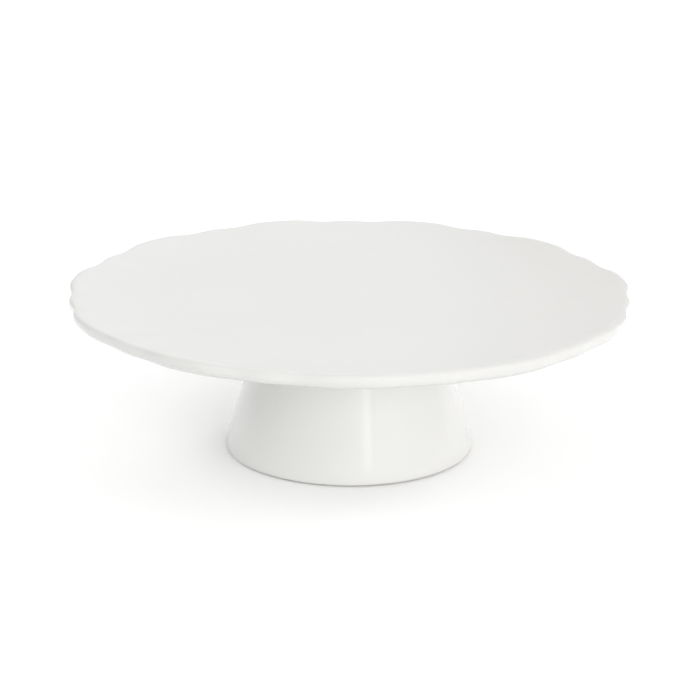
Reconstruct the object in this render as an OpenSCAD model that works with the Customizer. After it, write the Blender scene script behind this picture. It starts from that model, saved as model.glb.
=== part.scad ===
// Footed cake stand: a scalloped ceramic plate luted onto a hollow conical pedestal.
// Two clay bodies, the slip that bonds them and the coil that backs the seam.
// Millimetres, +Z up, origin at the centre of the foot ring, on the table.

/* [Plate] */
// Mean diameter of the scalloped edge
plate_d = 300; // [240:1:360]
// Mean height of the plate's crest above the table
stand_h = 88.5; // [70:0.5:160]
// Clay thickness under the serving well
plate_t = 7.5; // [6:0.5:10]
// Diameter of the flat serving well
well_d = 190; // [140:1:220]
// Rise from the well to the crest
well_rise = 3; // [1:0.25:6]

/* [Edge] */
// Distance from the widest line of the edge in to the crest
crest_in = 3.6; // [2:0.1:6]
// Height of the crest above the widest line of the edge
crest_drop = 1.9; // [1:0.1:3]
// Thickness of the edge, from the crest to its underside
edge_t = 8.2; // [6:0.1:10]
// Distance from the widest line of the edge in to its underside
under_in = 5.3; // [3:0.1:8]

/* [Scallops] */
// Number of broad lobes; a narrow lobe sits between each two
lobes = 11; // [6:1:16]
// Turn of one broad lobe from the X axis
lobe_turn = 8.8; // [0:0.1:60]
// Reach of the scallops in and out of the mean edge
scallop = 1.45; // [0:0.05:2.5]
// Lift of a lobe, as a share of its reach
lobe_lift = 0.3; // [0:0.05:0.6]

/* [Pedestal] */
// Diameter of the foot
foot_d = 134; // [110:1:180]
// Diameter of the lip under the plate
lip_d = 90; // [70:1:110]
// Wall thickness, measured level
wall = 6.5; // [6:0.1:9]
// Height over which the flank eases in above the foot
foot_ease = 15; // [8:0.5:25]
// Width of the flat, unglazed land of the foot ring
land_w = 3.6; // [2:0.1:4]
// Radius of the foot ring's outer edge
foot_round = 1.6; // [0.5:0.1:2]

/* [Luted joint] */
// Thickness of the slip between lip and plate
slip_t = 1; // [0.5:0.1:2]
// Radius of the slip fillet outside the joint
fillet_r = 3; // [2.5:0.1:5]
// Radius of the hollow smoothed into the coil inside the joint
coil_r = 6; // [4:0.1:8]
// Number of rings scored into the plate to key the slip
score_rings = 3; // [1:1:4]
// Width of a scored ring
score_w = 1; // [0.5:0.1:1.2]
// Depth of a scored ring
score_depth = 0.4; // [0.2:0.1:1]

/* [Hidden] */
$fn = 120;

glaze_white = [0.93, 0.925, 0.91];
slip_white = [0.87, 0.85, 0.81];
coil_white = [0.84, 0.82, 0.78];

// Plate: radii and heights of its section.
edge_r = plate_d / 2;
crest_r = edge_r - crest_in;
under_r = edge_r - under_in;
well_r = well_d / 2;
well_z = stand_h - well_rise;
underside_z = well_z - plate_t;
edge_under_z = stand_h - edge_t;

// Lobes: the second harmonic narrows every other lobe, the third flattens the broad ones.
narrow_share = 0.35;
flat_share = 0.31;
// Share of the scallop's reach that the crest and the underside of the edge follow.
crest_share = 0.55;
under_share = 0.6;
// Power of the radius by which the scallops grow from the well out to the crest.
lobe_growth = 5;

// Scalloped shell: steps round one lobe and along each stretch of the edge's section.
steps_per_lobe = 16;
rise_steps = 5;
roll_steps = 5;
under_steps = 3;
// The shell laps under the rim of the round core, a hair inside its two flat faces.
lap_in = 4;
lap_out = 1;
lap_inset = 0.05;
rise_r = well_r + lap_out;

// Pedestal: the flank's slope is constant above foot_ease and halves on its way to the foot.
foot_r = foot_d / 2;
lip_r = lip_d / 2;
lip_z = underside_z - slip_t;
foot_slope_share = 0.5;
flank_slope = (foot_r - lip_r) / (lip_z - foot_ease * (1 - foot_slope_share) / 2);
flank_lean = atan(flank_slope);
ease_steps = 5;
round_step = 15;
inner_chamfer = 1.5;

// Reach of the scallops at the angle a, before it is scaled by scallop.
function lobe(a) =
    let (t = lobes * (a - lobe_turn))
    cos(t) + narrow_share * cos(2 * t) - flat_share * cos(3 * t);

// Points of the edge's section, for u from 0 to 1 along each stretch. Each is
// [mean radius, mean height, share of the reach, share of the lift].
function rise_point(u) = [
    rise_r + (crest_r - rise_r) * u,
    well_z + well_rise * u * u - lap_inset * (1 - u),
    crest_share * pow(u, lobe_growth),
    pow(u, lobe_growth)
];
function crest_point(u) = [
    crest_r + crest_in * sin(90 * u),
    stand_h - crest_drop * (1 - cos(90 * u)),
    crest_share + (1 - crest_share) * sin(90 * u),
    1
];
function roll_point(u) = [
    under_r + under_in * cos(90 * u),
    stand_h - crest_drop - (edge_t - crest_drop) * sin(90 * u),
    1 - (1 - under_share) * sin(90 * u),
    1 - sin(90 * u)
];
function under_point(u) = [
    under_r + (rise_r - under_r) * u,
    edge_under_z + (underside_z + lap_inset - edge_under_z) * sin(90 * u),
    under_share * (1 - u),
    0
];

// From the well up to the crest, round the edge and back beneath it.
edge_section = concat(
    [[well_r - lap_in, well_z - lap_inset, 0, 0]],
    [for (i = [0 : rise_steps]) rise_point(i / rise_steps)],
    [for (i = [1 : roll_steps]) crest_point(i / roll_steps)],
    [for (i = [1 : roll_steps]) roll_point(i / roll_steps)],
    [for (i = [1 : under_steps]) under_point(i / under_steps)],
    [[well_r - lap_in, underside_z + lap_inset, 0, 0]]
);

// The edge's section carried round the plate, with the lobes worked into it.
module scalloped_edge() {
    rows = lobes * steps_per_lobe;
    cols = len(edge_section);
    points = [
        for (i = [0 : rows - 1], p = edge_section)
            let (
                a = 360 * i / rows,
                reach = scallop * lobe(a),
                r = p[0] + p[2] * reach
            )
            [r * cos(a), r * sin(a), p[1] + p[3] * lobe_lift * reach]
    ];
    faces = [
        for (i = [0 : rows - 1], j = [0 : cols - 1])
            let (
                here = i * cols,
                next = ((i + 1) % rows) * cols,
                k = (j + 1) % cols
            )
            each [
                [here + j, next + k, here + k],
                [here + j, next + j, next + k]
            ]
    ];
    polyhedron(points, faces);
}

// Rings that key the slip to the plate, spread evenly over the width of the lip.
module score_marks() {
    pitch = wall / score_rings;
    for (i = [0 : score_rings - 1])
        translate([lip_r - wall + (i + 0.5) * pitch, underside_z])
            square([score_w, 2 * score_depth], center = true);
}

module plate() {
    color(glaze_white)
        union() {
            scalloped_edge();
            rotate_extrude()
                difference() {
                    translate([0, underside_z])
                        square([well_r, plate_t]);
                    score_marks();
                }
        }
}

// Outer radius of the pedestal at the height z.
function flank_r(z) =
    let (
        low = min(z, foot_ease),
        share = foot_slope_share + (1 - foot_slope_share) * low / (2 * foot_ease)
    )
    foot_r - flank_slope * (low * share + max(z - foot_ease, 0));

// Wall of the pedestal: foot ring, outer flank, lip and the parallel inner flank.
module pedestal_section() {
    round_r = flank_r(foot_round) - foot_round;
    polygon(concat(
        [for (a = [0 : round_step : 90]) [round_r + foot_round * sin(a), foot_round * (1 - cos(a))]],
        [for (i = [1 : ease_steps]) let (z = foot_ease * i / ease_steps) [flank_r(z), z]],
        [[lip_r, lip_z], [lip_r - wall, lip_z]],
        [for (i = [ease_steps : -1 : 1]) let (z = foot_ease * i / ease_steps) [flank_r(z) - wall, z]],
        [[flank_r(inner_chamfer) - wall, inner_chamfer], [round_r - land_w, 0]]
    ));
}

module pedestal() {
    color(glaze_white)
        rotate_extrude()
            pedestal_section();
}

// A hollow fillet of radius f in the corner between the plate's underside and a flank
// whose lip stands at the radius r. side is 1 outside the pedestal and -1 inside it.
module corner_fillet(r, f, side) {
    level = lip_z - (underside_z - f);
    centre_r = r + side * f / cos(flank_lean) + level * tan(flank_lean);
    centre = [centre_r, underside_z - f];
    touch = centre - side * f * [cos(flank_lean), sin(flank_lean)];
    difference() {
        polygon([[r, underside_z], [r, lip_z], touch, [centre_r, underside_z]]);
        translate(centre)
            circle(f);
    }
}

module luting_slip() {
    color(slip_white)
        rotate_extrude()
            union() {
                translate([lip_r - wall, lip_z])
                    square([wall, slip_t]);
                intersection() {
                    score_marks();
                    translate([lip_r - wall, underside_z])
                        square([wall, score_depth]);
                }
                corner_fillet(lip_r, fillet_r, 1);
            }
}

module seam_coil() {
    color(coil_white)
        rotate_extrude()
            corner_fillet(lip_r - wall, coil_r, -1);
}

plate();
pedestal();
luting_slip();
seam_coil();
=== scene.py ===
# %% [markdown]
# # A scalloped cake stand in white glaze
#
# The stand is a wide, nearly flat plate with a softly scalloped edge, stuck onto a short
# hollow cone. A pottery presses the plate, casts the cone, joins the two with slip while
# they are damp, backs the seam with a coil of clay, and dips the whole in a white glaze.
# So this lesson makes four pieces: the plate, the pedestal, the slip fillet and the coil.
#
# Everything is in metres, with +Z up and the foot on the plane z = 0. The frame holds
# plain solids of the four pieces. Each finished piece here takes the place of one of them.

import math

import bmesh
import bpy
from mathutils import Matrix, Vector


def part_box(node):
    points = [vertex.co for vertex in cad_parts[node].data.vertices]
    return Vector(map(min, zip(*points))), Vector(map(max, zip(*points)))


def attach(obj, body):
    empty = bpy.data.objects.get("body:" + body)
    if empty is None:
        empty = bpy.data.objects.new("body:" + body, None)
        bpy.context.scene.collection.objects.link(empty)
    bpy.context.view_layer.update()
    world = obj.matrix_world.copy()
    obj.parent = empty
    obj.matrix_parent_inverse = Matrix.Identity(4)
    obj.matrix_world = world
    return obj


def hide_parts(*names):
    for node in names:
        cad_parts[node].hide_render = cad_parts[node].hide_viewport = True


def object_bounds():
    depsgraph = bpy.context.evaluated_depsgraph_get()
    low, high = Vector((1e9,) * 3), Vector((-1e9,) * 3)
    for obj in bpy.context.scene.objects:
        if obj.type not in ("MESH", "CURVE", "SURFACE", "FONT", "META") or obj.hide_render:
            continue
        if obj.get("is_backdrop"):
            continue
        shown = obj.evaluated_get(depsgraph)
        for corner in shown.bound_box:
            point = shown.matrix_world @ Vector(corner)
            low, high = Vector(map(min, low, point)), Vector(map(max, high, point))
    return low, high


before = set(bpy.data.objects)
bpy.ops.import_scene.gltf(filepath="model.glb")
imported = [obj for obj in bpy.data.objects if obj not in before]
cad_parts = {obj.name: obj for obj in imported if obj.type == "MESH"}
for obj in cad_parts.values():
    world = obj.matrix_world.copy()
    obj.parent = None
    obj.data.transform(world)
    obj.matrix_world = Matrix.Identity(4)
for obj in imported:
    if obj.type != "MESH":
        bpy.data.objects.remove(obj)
frame_box = [list(corner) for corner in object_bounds()]

MM = 0.001
plate_low, plate_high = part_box("plate")
pedestal_low, pedestal_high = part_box("pedestal")
print("plate from", plate_low, "to", plate_high)
print("pedestal from", pedestal_low, "to", pedestal_high)

# %% [markdown]
# ## The sizes that the pieces share
#
# The frame gives the box of each solid, and a potter's drawing gives the rest: how thick
# the clay is, how wide the flat well is, and how the edge is rolled. The foot's radius and
# the height of the lip come from the pedestal's box. The lobes push the plate's box out
# unevenly, so its mean radius is given here, and the print below shows how far they reach.
# It is 0.02 mm under the nominal 150 mm: a finer turning of the same size would stand a
# hair outside the box of the coarser solid.

# %% Shared sizes
EDGE_R = 149.98 * MM
CREST_R = 146.4 * MM
UNDER_R = 144.7 * MM
WELL_R = 96 * MM
WELL_Z = 85.5 * MM
UNDERSIDE_Z = 78 * MM
CREST_Z = 88.5 * MM
EDGE_UNDER_Z = 80.3 * MM

FOOT_R = 67 * MM
LIP_R = 45 * MM
LIP_Z = pedestal_high.z
WALL = 6.5 * MM

print("lip at", round(LIP_Z / MM, 2), "mm, slip", round((UNDERSIDE_Z - LIP_Z) / MM, 2), "mm thick")
print("lobes reach", round((plate_high.x - EDGE_R) / MM, 2), "mm past the mean edge")

# %% [markdown]
# ## Turning a section on the wheel
#
# A round piece of clay is a section turned about an axis, and Blender can turn it the same
# way. A section starts as a few corners joined by straight edges. Each corner that should
# be soft is bevelled on its own, with its own width, and the softened line is then spun
# once round the Z axis. It could also be a curve with a Screw modifier, but a spin gives
# the mesh at once, and the next steps need its vertices.
#
# `spin` with `use_merge` closes the turn. Vertices that lie on the axis come out once per
# step, so `remove_doubles` gathers them into one pole, and the normals are worked out
# again, because a spin may leave them pointing inwards.

# %% Turn a section
def draw_section(corners, closed):
    """Joins (radius, height, softness) corners by edges in the XZ plane, and rounds them."""
    bm = bmesh.new()
    verts = [bm.verts.new((radius, 0, height)) for radius, height, _ in corners]
    for first, second in zip(verts, verts[1:]):
        bm.edges.new((first, second))
    if closed:
        bm.edges.new((verts[-1], verts[0]))
    for vert, (_, _, softness) in zip(verts, corners):
        if softness:
            bmesh.ops.bevel(
                bm,
                geom=[vert],
                offset=softness,
                offset_type="OFFSET",
                affect="VERTICES",
                segments=10,
                profile=0.5,
                material=-1,
            )
    return bm


def divide_long_edges(bm, longest):
    """Cuts every edge of a section that is longer than `longest` into equal parts."""
    for edge in list(bm.edges):
        cuts = math.ceil(edge.calc_length() / longest) - 1
        if cuts > 0:
            bmesh.ops.subdivide_edges(bm, edges=[edge], cuts=cuts)


def turn_section(bm, steps):
    """Spins the section once round Z, closes the turn and the poles, and faces it outwards."""
    bmesh.ops.spin(
        bm,
        geom=bm.verts[:] + bm.edges[:],
        cent=(0, 0, 0),
        axis=(0, 0, 1),
        angle=math.tau,
        steps=steps,
        use_merge=True,
    )
    bmesh.ops.remove_doubles(bm, verts=bm.verts, dist=0.01 * MM)
    bmesh.ops.recalc_face_normals(bm, faces=bm.faces)
    print("turned", len(bm.verts), "vertices,", len(bm.faces), "faces")


def finish_piece(bm, name, materials):
    """Puts the mesh into the scene as a smooth-shaded object with its materials."""
    mesh = bpy.data.meshes.new(name)
    bm.to_mesh(mesh)
    bm.free()
    mesh.shade_smooth()
    for material in materials:
        mesh.materials.append(material)
    piece = bpy.data.objects.new(name, mesh)
    bpy.context.scene.collection.objects.link(piece)
    return piece


# %% [markdown]
# ## The scallops
#
# Round the edge run 11 broad lobes, each followed by a narrow one, with a soft cusp where
# two lobes meet. A mould maker would cut them with a template. Here one formula does it:
# a cosine gives 11 even waves, its second harmonic raises a narrow lobe in every valley,
# and its third flattens the broad lobes and sharpens the cusps.

# %% The shape of the lobes
LOBES = 11
LOBE_TURN = math.radians(8.8)
REACH = 1.45 * MM
LIFT = 0.3
NARROW = 0.35
FLAT = 0.31


def lobe(angle):
    """How far the edge stands out at an angle, from about -1 at a cusp to about 1 on a lobe."""
    wave = LOBES * (angle - LOBE_TURN)
    return math.cos(wave) + NARROW * math.cos(2 * wave) - FLAT * math.cos(3 * wave)


def ease(low, high, value):
    """Goes from 0 at `low` to 1 at `high`, with no kink at either end."""
    share = min(max((value - low) / (high - low), 0), 1)
    return share * share * (3 - 2 * share)


print("reach of a broad lobe", round(REACH / MM * lobe(LOBE_TURN), 2), "mm")

# %% [markdown]
# ## White glaze
#
# A white glaze is glass over pale clay. Light does two things there: part of it mirrors
# off the glass, sharp and weak, and the rest goes in and comes out soft and nearly white.
# A Principled shader has both, with the coat as the glass. A single glossy layer would
# also do, but then the body could not be duller than the glaze.
#
# No glaze is quite even. It runs thinner over edges, where the clay dulls it, and there
# painted shade darkens it further, on the steep side of the rolled edge and at the foot.
# A darker painted shade lies beneath the edge of the plate, at the top of the pedestal and
# on the fillet and the coil. Each piece carries the two as vertex attributes, from 0 to 1.
# The +X side is also a shade darker and warmer, a soft change along X that is painted
# shade for light falling off across the stand; for a clean glaze leave that colour out.
# The surface also has long, very low waves and a finer orange peel, and both are bump from
# noise on Object coordinates.

# %% Node helpers
def add_node(tree, kind, **sockets):
    """Adds a node and sets the named input sockets."""
    node = tree.nodes.new(kind)
    for name, value in sockets.items():
        node.inputs[name.replace("_", " ")].default_value = value
    return node


def add_noise(tree, coordinates, scale, detail):
    """Adds noise that reads the given coordinates, `scale` waves to the metre."""
    noise = add_node(tree, "ShaderNodeTexNoise", Scale=scale, Detail=detail, Roughness=0.5)
    tree.links.new(coordinates, noise.inputs["Vector"])
    return noise.outputs["Fac"]


def add_ramp(tree, value, low, high, low_colour, high_colour):
    """Turns a value between low and high into a colour between two."""
    ramp = tree.nodes.new("ShaderNodeValToRGB")
    first, last = ramp.color_ramp.elements
    first.position, first.color = low, (*low_colour, 1)
    last.position, last.color = high, (*high_colour, 1)
    tree.links.new(value, ramp.inputs["Fac"])
    return ramp.outputs["Color"]


def add_colour(tree, colour):
    """Adds one plain colour."""
    node = tree.nodes.new("ShaderNodeRGB")
    node.outputs["Color"].default_value = (*colour, 1)
    return node.outputs["Color"]


def add_level(tree, coordinates, axis, low, high):
    """Adds a number that goes softly from 0 to 1 between two positions along an axis."""
    split = tree.nodes.new("ShaderNodeSeparateXYZ")
    tree.links.new(coordinates, split.inputs["Vector"])
    level = add_node(tree, "ShaderNodeMapRange", From_Min=low, From_Max=high)
    level.interpolation_type = "SMOOTHSTEP"
    tree.links.new(split.outputs[axis], level.inputs["Value"])
    return level.outputs["Result"]


def add_attribute(tree, name):
    """Adds a number that each vertex of the piece carries."""
    node = tree.nodes.new("ShaderNodeAttribute")
    node.attribute_name = name
    return node.outputs["Fac"]


def add_mix(tree, share, first, second):
    """Mixes two colours, from all of the first at a share of 0 to all of the second at 1."""
    mix = tree.nodes.new("ShaderNodeMix")
    mix.data_type = "RGBA"
    tree.links.new(share, mix.inputs["Factor"])
    tree.links.new(first, mix.inputs["A"])
    tree.links.new(second, mix.inputs["B"])
    return mix.outputs["Result"]


def add_bump(tree, height, distance, below=None):
    """Adds a bump of `distance` metres, on top of another bump if there is one."""
    bump = add_node(tree, "ShaderNodeBump", Distance=distance, Strength=1.0)
    tree.links.new(height, bump.inputs["Height"])
    if below is not None:
        tree.links.new(below, bump.inputs["Normal"])
    return bump.outputs["Normal"]


# %% The white glaze
GLAZE_EVEN = (0.732, 0.731, 0.715)
# Painted shade: the colour that the +X side of the stand turns to.
GLAZE_SHADED_SIDE = (0.672, 0.662, 0.640)
# Thinner glaze on edges, darkened further by painted shade.
GLAZE_THIN_AND_SHADED = (0.625, 0.621, 0.605)
# Painted shade beneath the edge, under the plate and in the corners.
GLAZE_PAINTED_SHADE = (0.535, 0.545, 0.53)


def make_white_glaze():
    """White gloss glaze over pale clay, thinner on edges, with painted shade on the edges, beneath them,
    in corners and on the +X side.
    """
    glaze = bpy.data.materials.new("white_glaze")
    glaze.use_nodes = True
    tree = glaze.node_tree
    shader = tree.nodes["Principled BSDF"]
    place = tree.nodes.new("ShaderNodeTexCoord").outputs["Object"]

    cloud = add_noise(tree, place, 14.0, 3.0)
    even = add_ramp(tree, cloud, 0.35, 0.65, [c * 0.985 for c in GLAZE_EVEN], GLAZE_EVEN)
    # Painted shade: the +X side goes darker and a little warmer, where the light falls off.
    painted_side_shade = add_level(tree, place, "X", 0.0, 0.14)
    side_shaded = add_mix(tree, painted_side_shade, even, add_colour(tree, GLAZE_SHADED_SIDE))
    # Thinner glaze and painted shade: darker on the rolled edge of the plate and at the foot.
    thinned_and_shaded = add_mix(tree, add_attribute(tree, "thin_and_shaded"), side_shaded, add_colour(tree, GLAZE_THIN_AND_SHADED))
    # Painted shade: darker beneath the edge of the plate, at the top of the pedestal under it, and on the
    # fillet and the coil.
    colour = add_mix(tree, add_attribute(tree, "painted_shade"), thinned_and_shaded, add_colour(tree, GLAZE_PAINTED_SHADE))
    tree.links.new(colour, shader.inputs["Base Color"])

    satin = add_ramp(tree, add_noise(tree, place, 60.0, 2.0), 0.3, 0.7, (0.3,) * 3, (0.38,) * 3)
    tree.links.new(satin, shader.inputs["Roughness"])
    shader.inputs["Specular IOR Level"].default_value = 0.25
    shader.inputs["Coat Weight"].default_value = 1.0
    shader.inputs["Coat Roughness"].default_value = 0.12
    shader.inputs["Coat IOR"].default_value = 1.5

    waves = add_bump(tree, add_noise(tree, place, 28.0, 1.0), 0.10 * MM)
    peel = add_bump(tree, add_noise(tree, place, 420.0, 2.0), 0.006 * MM, waves)
    tree.links.new(peel, shader.inputs["Normal"])
    tree.links.new(waves, shader.inputs["Coat Normal"])
    return glaze


def mark_glaze(bm, name, amount):
    """Stores a share from 0 to 1 at each vertex, under the given name, for thinner glaze and for painted
    shade.
    """
    layer = bm.verts.layers.float.new(name)
    for vert in bm.verts:
        vert[layer] = amount(vert.co.xy.length, vert.co.z)


white_glaze = make_white_glaze()
print("glaze has", len(white_glaze.node_tree.nodes), "nodes")

# %% [markdown]
# ## Bare clay
#
# A piece would stick to the kiln shelf if it stood on glaze, so the land of the foot ring
# is wiped clean. What shows there is fired clay: pale, dull and sandy, with fine grog and
# a few darker grains. Voronoi cells make the grains, and noise makes the rest.

# %% The bare clay
CLAY_PALE = (0.72, 0.66, 0.56)
CLAY_SPECK = (0.46, 0.38, 0.29)


def make_bare_clay():
    """Fired clay with no glaze: dull and sandy, with darker grains."""
    clay = bpy.data.materials.new("bare_clay")
    clay.use_nodes = True
    tree = clay.node_tree
    shader = tree.nodes["Principled BSDF"]
    place = tree.nodes.new("ShaderNodeTexCoord").outputs["Object"]

    sand = add_noise(tree, place, 900.0, 4.0)
    body = add_ramp(tree, sand, 0.3, 0.7, [c * 0.9 for c in CLAY_PALE], CLAY_PALE)
    grains = add_node(tree, "ShaderNodeTexVoronoi", Scale=700.0)
    tree.links.new(place, grains.inputs["Vector"])
    speck = tree.nodes.new("ShaderNodeMath")
    speck.operation = "LESS_THAN"
    speck.inputs[1].default_value = 0.12
    tree.links.new(grains.outputs["Distance"], speck.inputs[0])
    colour = add_mix(tree, speck.outputs[0], body, add_colour(tree, CLAY_SPECK))
    tree.links.new(colour, shader.inputs["Base Color"])

    shader.inputs["Roughness"].default_value = 0.85
    shader.inputs["Specular IOR Level"].default_value = 0.3
    tree.links.new(add_bump(tree, sand, 0.05 * MM), shader.inputs["Normal"])
    return clay


bare_clay = make_bare_clay()

# %% [markdown]
# ## The scalloped plate
#
# The section of the plate has five soft places: the long easy bend where the well turns up,
# the crest, the two sides of the rolled edge, and the bend under it. Each is one softened
# corner. The two ends of the section lie on the axis, so the turned plate is closed.
#
# The lobes come after the turn, as if pressed in by hand: every vertex moves outwards and
# up by the lobe's height at its angle, times a share that says how much of it is felt
# there. The share is full along the widest line, about half on the crest, and dies away
# towards the well and beneath the edge. The edge is also up to a millimetre thinner on one
# side, where its underside is raised. The frame's solid is even all the way round.
#
# The thinner glaze and the painted shade are marked before the lobes are pressed, while
# each part of the section still lies at one radius all the way round.

# %% Turn the plate
plate_section = [
    (0, WELL_Z, 0),
    ((WELL_R + CREST_R) / 2, WELL_Z, (CREST_R - WELL_R) / 2 - MM),
    (CREST_R + 0.4 * MM, CREST_Z + 0.08 * MM, 1.3 * MM),
    (EDGE_R, CREST_Z - 0.25 * MM, 1.6 * MM),
    (EDGE_R, EDGE_UNDER_Z, EDGE_R - UNDER_R),
    (WELL_R, UNDERSIDE_Z, 12 * MM),
    (0, UNDERSIDE_Z, 0),
]
plate = draw_section(plate_section, closed=False)
divide_long_edges(plate, 6 * MM)
turn_section(plate, steps=32 * LOBES)

# %% Dip the plate and mark its painted shade
def on_the_edge(radius, height):
    """Where the glaze runs thinner and painted shade darkens it: the steep side of the rolled edge,
    outside the crest.
    """
    return ease(CREST_R + 1.2 * MM, EDGE_R - 0.3 * MM, radius)


def below_the_edge(radius, height):
    """Where painted shade lies: the belt beneath the edge."""
    inside = ease(UNDER_R - 14 * MM, UNDER_R - 2 * MM, radius)
    return inside * ease(-EDGE_UNDER_Z - 3 * MM, -EDGE_UNDER_Z - 0.6 * MM, -height)


mark_glaze(plate, "thin_and_shaded", on_the_edge)
mark_glaze(plate, "painted_shade", below_the_edge)

# %% Press the lobes into the edge
UNDER_SHARE = 0.6
CREST_SHARE = 0.55
MID_Z = (WELL_Z + UNDERSIDE_Z) / 2


LOBE_GROWTH = 5


def grown(radius):
    """How far the lobes have grown, from 0 at the well to 1 at the crest and beyond."""
    return min(max((radius - WELL_R) / (CREST_R - WELL_R), 0), 1) ** LOBE_GROWTH


def lobe_share(radius, height):
    """How much of the lobes is felt at a point of the section, from 0 to 1."""
    if radius < UNDER_R and height < MID_Z:
        return UNDER_SHARE * ease(WELL_R, UNDER_R, radius)
    if radius < CREST_R:
        return CREST_SHARE * grown(radius)
    over = CREST_SHARE + (1 - CREST_SHARE) * ease(CREST_R, EDGE_R, radius)
    under = UNDER_SHARE + (1 - UNDER_SHARE) * ease(EDGE_UNDER_Z, CREST_Z - 2 * MM, height)
    return min(over, under) if height > EDGE_UNDER_Z + 3 * MM else under


def lift_share(radius, height):
    """How much a lobe raises a point: all of it on the crest, none beneath the edge."""
    raised = ease(EDGE_UNDER_Z, CREST_Z - 2 * MM, height)
    return raised * grown(radius)


THIN_SIDE = math.radians(225)
THINNER = 1.0 * MM


def pressed_thinner(angle, radius, height):
    """How far the underside of the edge is raised: most at THIN_SIDE, none far from it."""
    near = max(math.cos(angle - THIN_SIDE), 0) ** 2
    below = 1 - ease(EDGE_UNDER_Z, CREST_Z - 2 * MM, height)
    return THINNER * near * below * ease(WELL_R, UNDER_R, radius)


for vert in plate.verts:
    radius, height = vert.co.xy.length, vert.co.z
    if radius > WELL_R:
        angle = math.atan2(vert.co.y, vert.co.x)
        vert.co.z += pressed_thinner(angle, radius, height)
        reach = REACH * lobe(angle)
        scale = 1 + lobe_share(radius, height) * reach / radius
        vert.co.x *= scale
        vert.co.y *= scale
        vert.co.z += LIFT * reach * lift_share(radius, height)

scalloped_plate = finish_piece(plate, "scalloped_plate", [white_glaze])
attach(scalloped_plate, "root")
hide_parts("plate")
print("plate spans", [round(size / MM, 1) for size in scalloped_plate.dimensions])

# %% [markdown]
# ## The hollow pedestal
#
# The pedestal is cast in a plaster mould, so its wall is even and its inside follows its
# outside. The flank is a straight cone that eases in over the foot, and one corner on each
# side, softly rounded, gives that bend. The glaze stops a little above the table in a
# small rounded lip, and the bare land stands inside it.

# %% Turn the pedestal
EASE_Z = 7.5 * MM
FLANK_SLOPE = (FOOT_R - LIP_R) / (LIP_Z - EASE_Z / 2)
EASE_R = LIP_R + FLANK_SLOPE * (LIP_Z - EASE_Z)
GLAZE_LINE = 0.95 * MM
LAND_OUT = FOOT_R - 3 * MM
LAND_IN = LAND_OUT - 2.3 * MM

pedestal_section = [
    (LAND_IN, 0, 0.15 * MM),
    (LAND_OUT, 0, 0.15 * MM),
    (LAND_OUT, GLAZE_LINE, 0.1 * MM),
    (FOOT_R, GLAZE_LINE, 0.6 * MM),
    (EASE_R, EASE_Z, 6 * MM),
    (LIP_R, LIP_Z, 0),
    (LIP_R - WALL, LIP_Z, 0),
    (EASE_R - WALL, EASE_Z, 6 * MM),
    (FOOT_R - WALL, GLAZE_LINE, 0.6 * MM),
    (LAND_IN, GLAZE_LINE, 0.1 * MM),
]
pedestal = draw_section(pedestal_section, closed=True)
divide_long_edges(pedestal, 6 * MM)
turn_section(pedestal, steps=256)

# %% Leave the land of the foot ring bare
BARE = 1
for face in pedestal.faces:
    middle = face.calc_center_median()
    if LAND_IN - 0.05 * MM < middle.xy.length < LAND_OUT + 0.05 * MM and middle.z < GLAZE_LINE:
        face.material_index = BARE
# Thinner glaze and painted shade: darker over the last few millimetres above the table.
mark_glaze(pedestal, "thin_and_shaded", lambda radius, height: 0.5 * ease(-3 * MM, -1 * MM, -height))
# Painted shade: darker at the top of the pedestal, under the plate.
mark_glaze(pedestal, "painted_shade", lambda radius, height: 0.15 * ease(LIP_Z - 8 * MM, LIP_Z, height))

hollow_pedestal = finish_piece(pedestal, "hollow_pedestal", [white_glaze, bare_clay])
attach(hollow_pedestal, "root")
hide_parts("pedestal")

# %% [markdown]
# ## The slip joint and the coil
#
# The lip of the pedestal is luted to the plate with slip. What squeezes out is drawn into
# a small hollow fillet with a wet brush, and inside the pedestal a coil of clay is worked
# into the corner and smoothed. Both are rings with a hollow face. Each is turned from a
# triangle of corners whose long side is then pushed in, so that it meets the plate and the
# flank without a step.

# %% A fillet in the corner under the plate
def turn_fillet(lip_r, size, side, bond):
    """Turns the ring that fills the corner under the plate. side is 1 outside, -1 inside."""
    lean = math.atan(FLANK_SLOPE)
    flank = Vector((math.cos(lean), math.sin(lean)))
    centre_z = UNDERSIDE_Z - size
    centre_r = lip_r + side * size / flank.x + (LIP_Z - centre_z) * math.tan(lean)
    centre = Vector((centre_r, centre_z))
    touch = centre - side * size * flank
    bm = bmesh.new()
    arc_angle = math.radians(90) + side * lean
    on_flank = bm.verts.new((touch.x, 0, touch.y))
    arc = bmesh.ops.spin(
        bm,
        geom=[on_flank],
        cent=(centre.x, 0, centre.y),
        axis=(0, side, 0),
        angle=arc_angle,
        steps=12,
    )
    on_plate = [part for part in arc["geom_last"] if isinstance(part, bmesh.types.BMVert)][0]
    print("fillet ends", round((on_plate.co.z - UNDERSIDE_Z) / MM, 3), "mm from the plate")
    inner = lip_r - bond
    corners = [on_plate]
    corners += [bm.verts.new((inner, 0, UNDERSIDE_Z))]
    if bond:
        corners += [bm.verts.new((inner, 0, LIP_Z))]
    corners += [bm.verts.new((lip_r, 0, LIP_Z)), on_flank]
    for first, second in zip(corners, corners[1:]):
        bm.edges.new((first, second))
    turn_section(bm, steps=192)
    # Painted shade: the fillet and the coil sit in corners under the plate, so they are darkened all
    # over.
    mark_glaze(bm, "painted_shade", lambda radius, height: 0.3)
    return bm


# %% The slip between lip and plate
slip_joint = finish_piece(turn_fillet(LIP_R, 3 * MM, 1, WALL), "slip_joint", [white_glaze])
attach(slip_joint, "root")
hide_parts("luting_slip")

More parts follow.
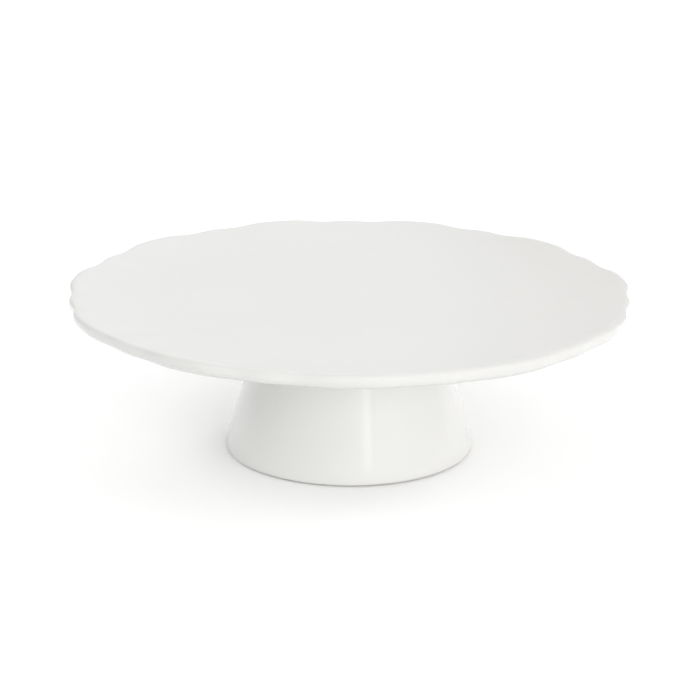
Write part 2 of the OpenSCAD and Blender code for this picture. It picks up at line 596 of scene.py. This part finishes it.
# %% The coil inside
smoothed_coil = finish_piece(turn_fillet(LIP_R - WALL, 6 * MM, -1, 0), "smoothed_coil", [white_glaze])
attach(smoothed_coil, "root")
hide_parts("seam_coil")

# %% [markdown]
# ## The table and the light
#
# White ware is photographed on a white sweep, in light that comes from everywhere. Here
# the sweep is a wide pale floor that glows a little, and the world is the light from
# everywhere. Two broad softboxes stand low on the right, one in front and one behind, and
# reach beneath the plate. Two more hang high on either side and light its top. The glaze
# mirrors none of the four: it mirrors one narrow strip near the camera, which draws the
# bright line down the pedestal. A small dark card on the left takes some light away, so
# the stand turns darker on that side.

# %% A pale floor
def make_floor():
    """A wide pale floor, seen through from below so that the foot can be looked at."""
    bm = bmesh.new()
    bmesh.ops.create_grid(bm, x_segments=8, y_segments=8, size=6)
    floor = finish_piece(bm, "pale_floor", [])
    paper = bpy.data.materials.new("floor_paper")
    paper.use_nodes = True
    tree = paper.node_tree
    shader = tree.nodes["Principled BSDF"]
    shader.inputs["Base Color"].default_value = (0.95, 0.95, 0.95, 1)
    shader.inputs["Roughness"].default_value = 0.95
    shader.inputs["Specular IOR Level"].default_value = 0.0
    shader.inputs["Emission Color"].default_value = (1, 1, 1, 1)
    shader.inputs["Emission Strength"].default_value = 0.06
    clear = tree.nodes.new("ShaderNodeBsdfTransparent")
    one_sided = tree.nodes.new("ShaderNodeMixShader")
    back = tree.nodes.new("ShaderNodeNewGeometry").outputs["Backfacing"]
    tree.links.new(back, one_sided.inputs["Fac"])
    tree.links.new(shader.outputs["BSDF"], one_sided.inputs[1])
    tree.links.new(clear.outputs["BSDF"], one_sided.inputs[2])
    tree.links.new(one_sided.outputs["Shader"], tree.nodes["Material Output"].inputs["Surface"])
    floor.data.materials.append(paper)
    return floor


floor = make_floor()
floor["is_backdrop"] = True

# %% A dark card on the left
def make_card():
    """A dark card beside the stand, out of the camera's sight, that shades the left side."""
    bm = bmesh.new()
    bmesh.ops.create_grid(bm, x_segments=1, y_segments=1, size=0.5)
    bmesh.ops.scale(bm, vec=(0.2, 0.8, 1), verts=bm.verts)
    bmesh.ops.rotate(bm, cent=(0, 0, 0), matrix=Matrix.Rotation(math.radians(90), 3, "Y"), verts=bm.verts)
    bmesh.ops.translate(bm, vec=(-0.8, -0.05, 0.101), verts=bm.verts)
    card = finish_piece(bm, "dark_card", [])
    black = bpy.data.materials.new("black_felt")
    black.use_nodes = True
    black.node_tree.nodes["Principled BSDF"].inputs["Base Color"].default_value = (0.01, 0.01, 0.01, 1)
    card.data.materials.append(black)
    card.visible_camera = False
    card.visible_glossy = False
    return card


card = make_card()
card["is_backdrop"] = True

# %% Softboxes and the world
def add_softbox(name, azimuth, elevation, distance, width, height, power, mirrored=False):
    """Hangs a softbox that faces the stand. Azimuth 0 is in front, 90 is to the right."""
    light = bpy.data.lights.new(name, "AREA")
    light.shape = "RECTANGLE"
    light.size, light.size_y = width, height
    light.energy = power
    box = bpy.data.objects.new(name, light)
    turn, rise = math.radians(azimuth), math.radians(elevation)
    away = Vector((math.sin(turn) * math.cos(rise), -math.cos(turn) * math.cos(rise), math.sin(rise)))
    aim = Vector((0, 0, 0.06))
    box.location = aim + away * distance
    box.rotation_mode = "QUATERNION"
    box.rotation_quaternion = away.to_track_quat("Z", "Y")
    box.visible_camera = False
    box.visible_glossy = mirrored
    bpy.context.scene.collection.objects.link(box)
    return box


add_softbox("front_softbox", 30, 12, 2.0, 1.6, 0.9, 14)
add_softbox("back_softbox", 150, 12, 2.0, 1.6, 0.9, 18)
add_softbox("left_softbox", -60, 42, 2.0, 1.4, 1.0, 8)
add_softbox("right_softbox", 60, 42, 2.0, 1.4, 1.0, 4.8)
add_softbox("strip_softbox", 18, 13, 2.0, 0.26, 0.6, 0.7, mirrored=True)

world = bpy.data.worlds.new("studio")
world.use_nodes = True
world.node_tree.nodes["Background"].inputs["Color"].default_value = (1, 1, 1, 1)
world.node_tree.nodes["Background"].inputs["Strength"].default_value = 0.825
bpy.context.scene.world = world
bpy.context.scene.view_settings.view_transform = "Standard"

# %% [markdown]
# ## The camera
#
# The stand is seen from a little above its edge, from more than a metre off, with a long
# lens. That keeps the near and far sides of the plate close in size. The camera also leans
# by about a third of a degree.

# %% Set up the camera
def add_camera():
    """A long lens, looking down on the stand from in front."""
    camera = bpy.data.objects.new("camera", bpy.data.cameras.new("camera"))
    camera.data.lens = 110.4
    camera.data.sensor_width = 36
    camera.data.shift_x = 0.0008
    camera.location = (0, -1.1064, 0.4052)
    pitch = math.radians(90 - 17.63)
    roll = math.radians(0.35)
    camera.rotation_mode = "QUATERNION"
    turned = Matrix.Rotation(pitch, 3, "X") @ Matrix.Rotation(roll, 3, "Z")
    camera.rotation_quaternion = turned.to_quaternion()
    bpy.context.scene.collection.objects.link(camera)
    bpy.context.scene.camera = camera


add_camera()

# %% [markdown]
# ## Check the size and finish
#
# The finished pieces must stay within the frame's box, so how far each side of theirs lies off it is
# printed.

# %% Compare the boxes
made_box = [list(corner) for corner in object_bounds()]
for axis in range(3):
    low, high = made_box[0][axis] - frame_box[0][axis], made_box[1][axis] - frame_box[1][axis]
    print("XYZ"[axis], "low", round(low / MM, 2), "mm, high", round(high / MM, 2), "mm off the frame")
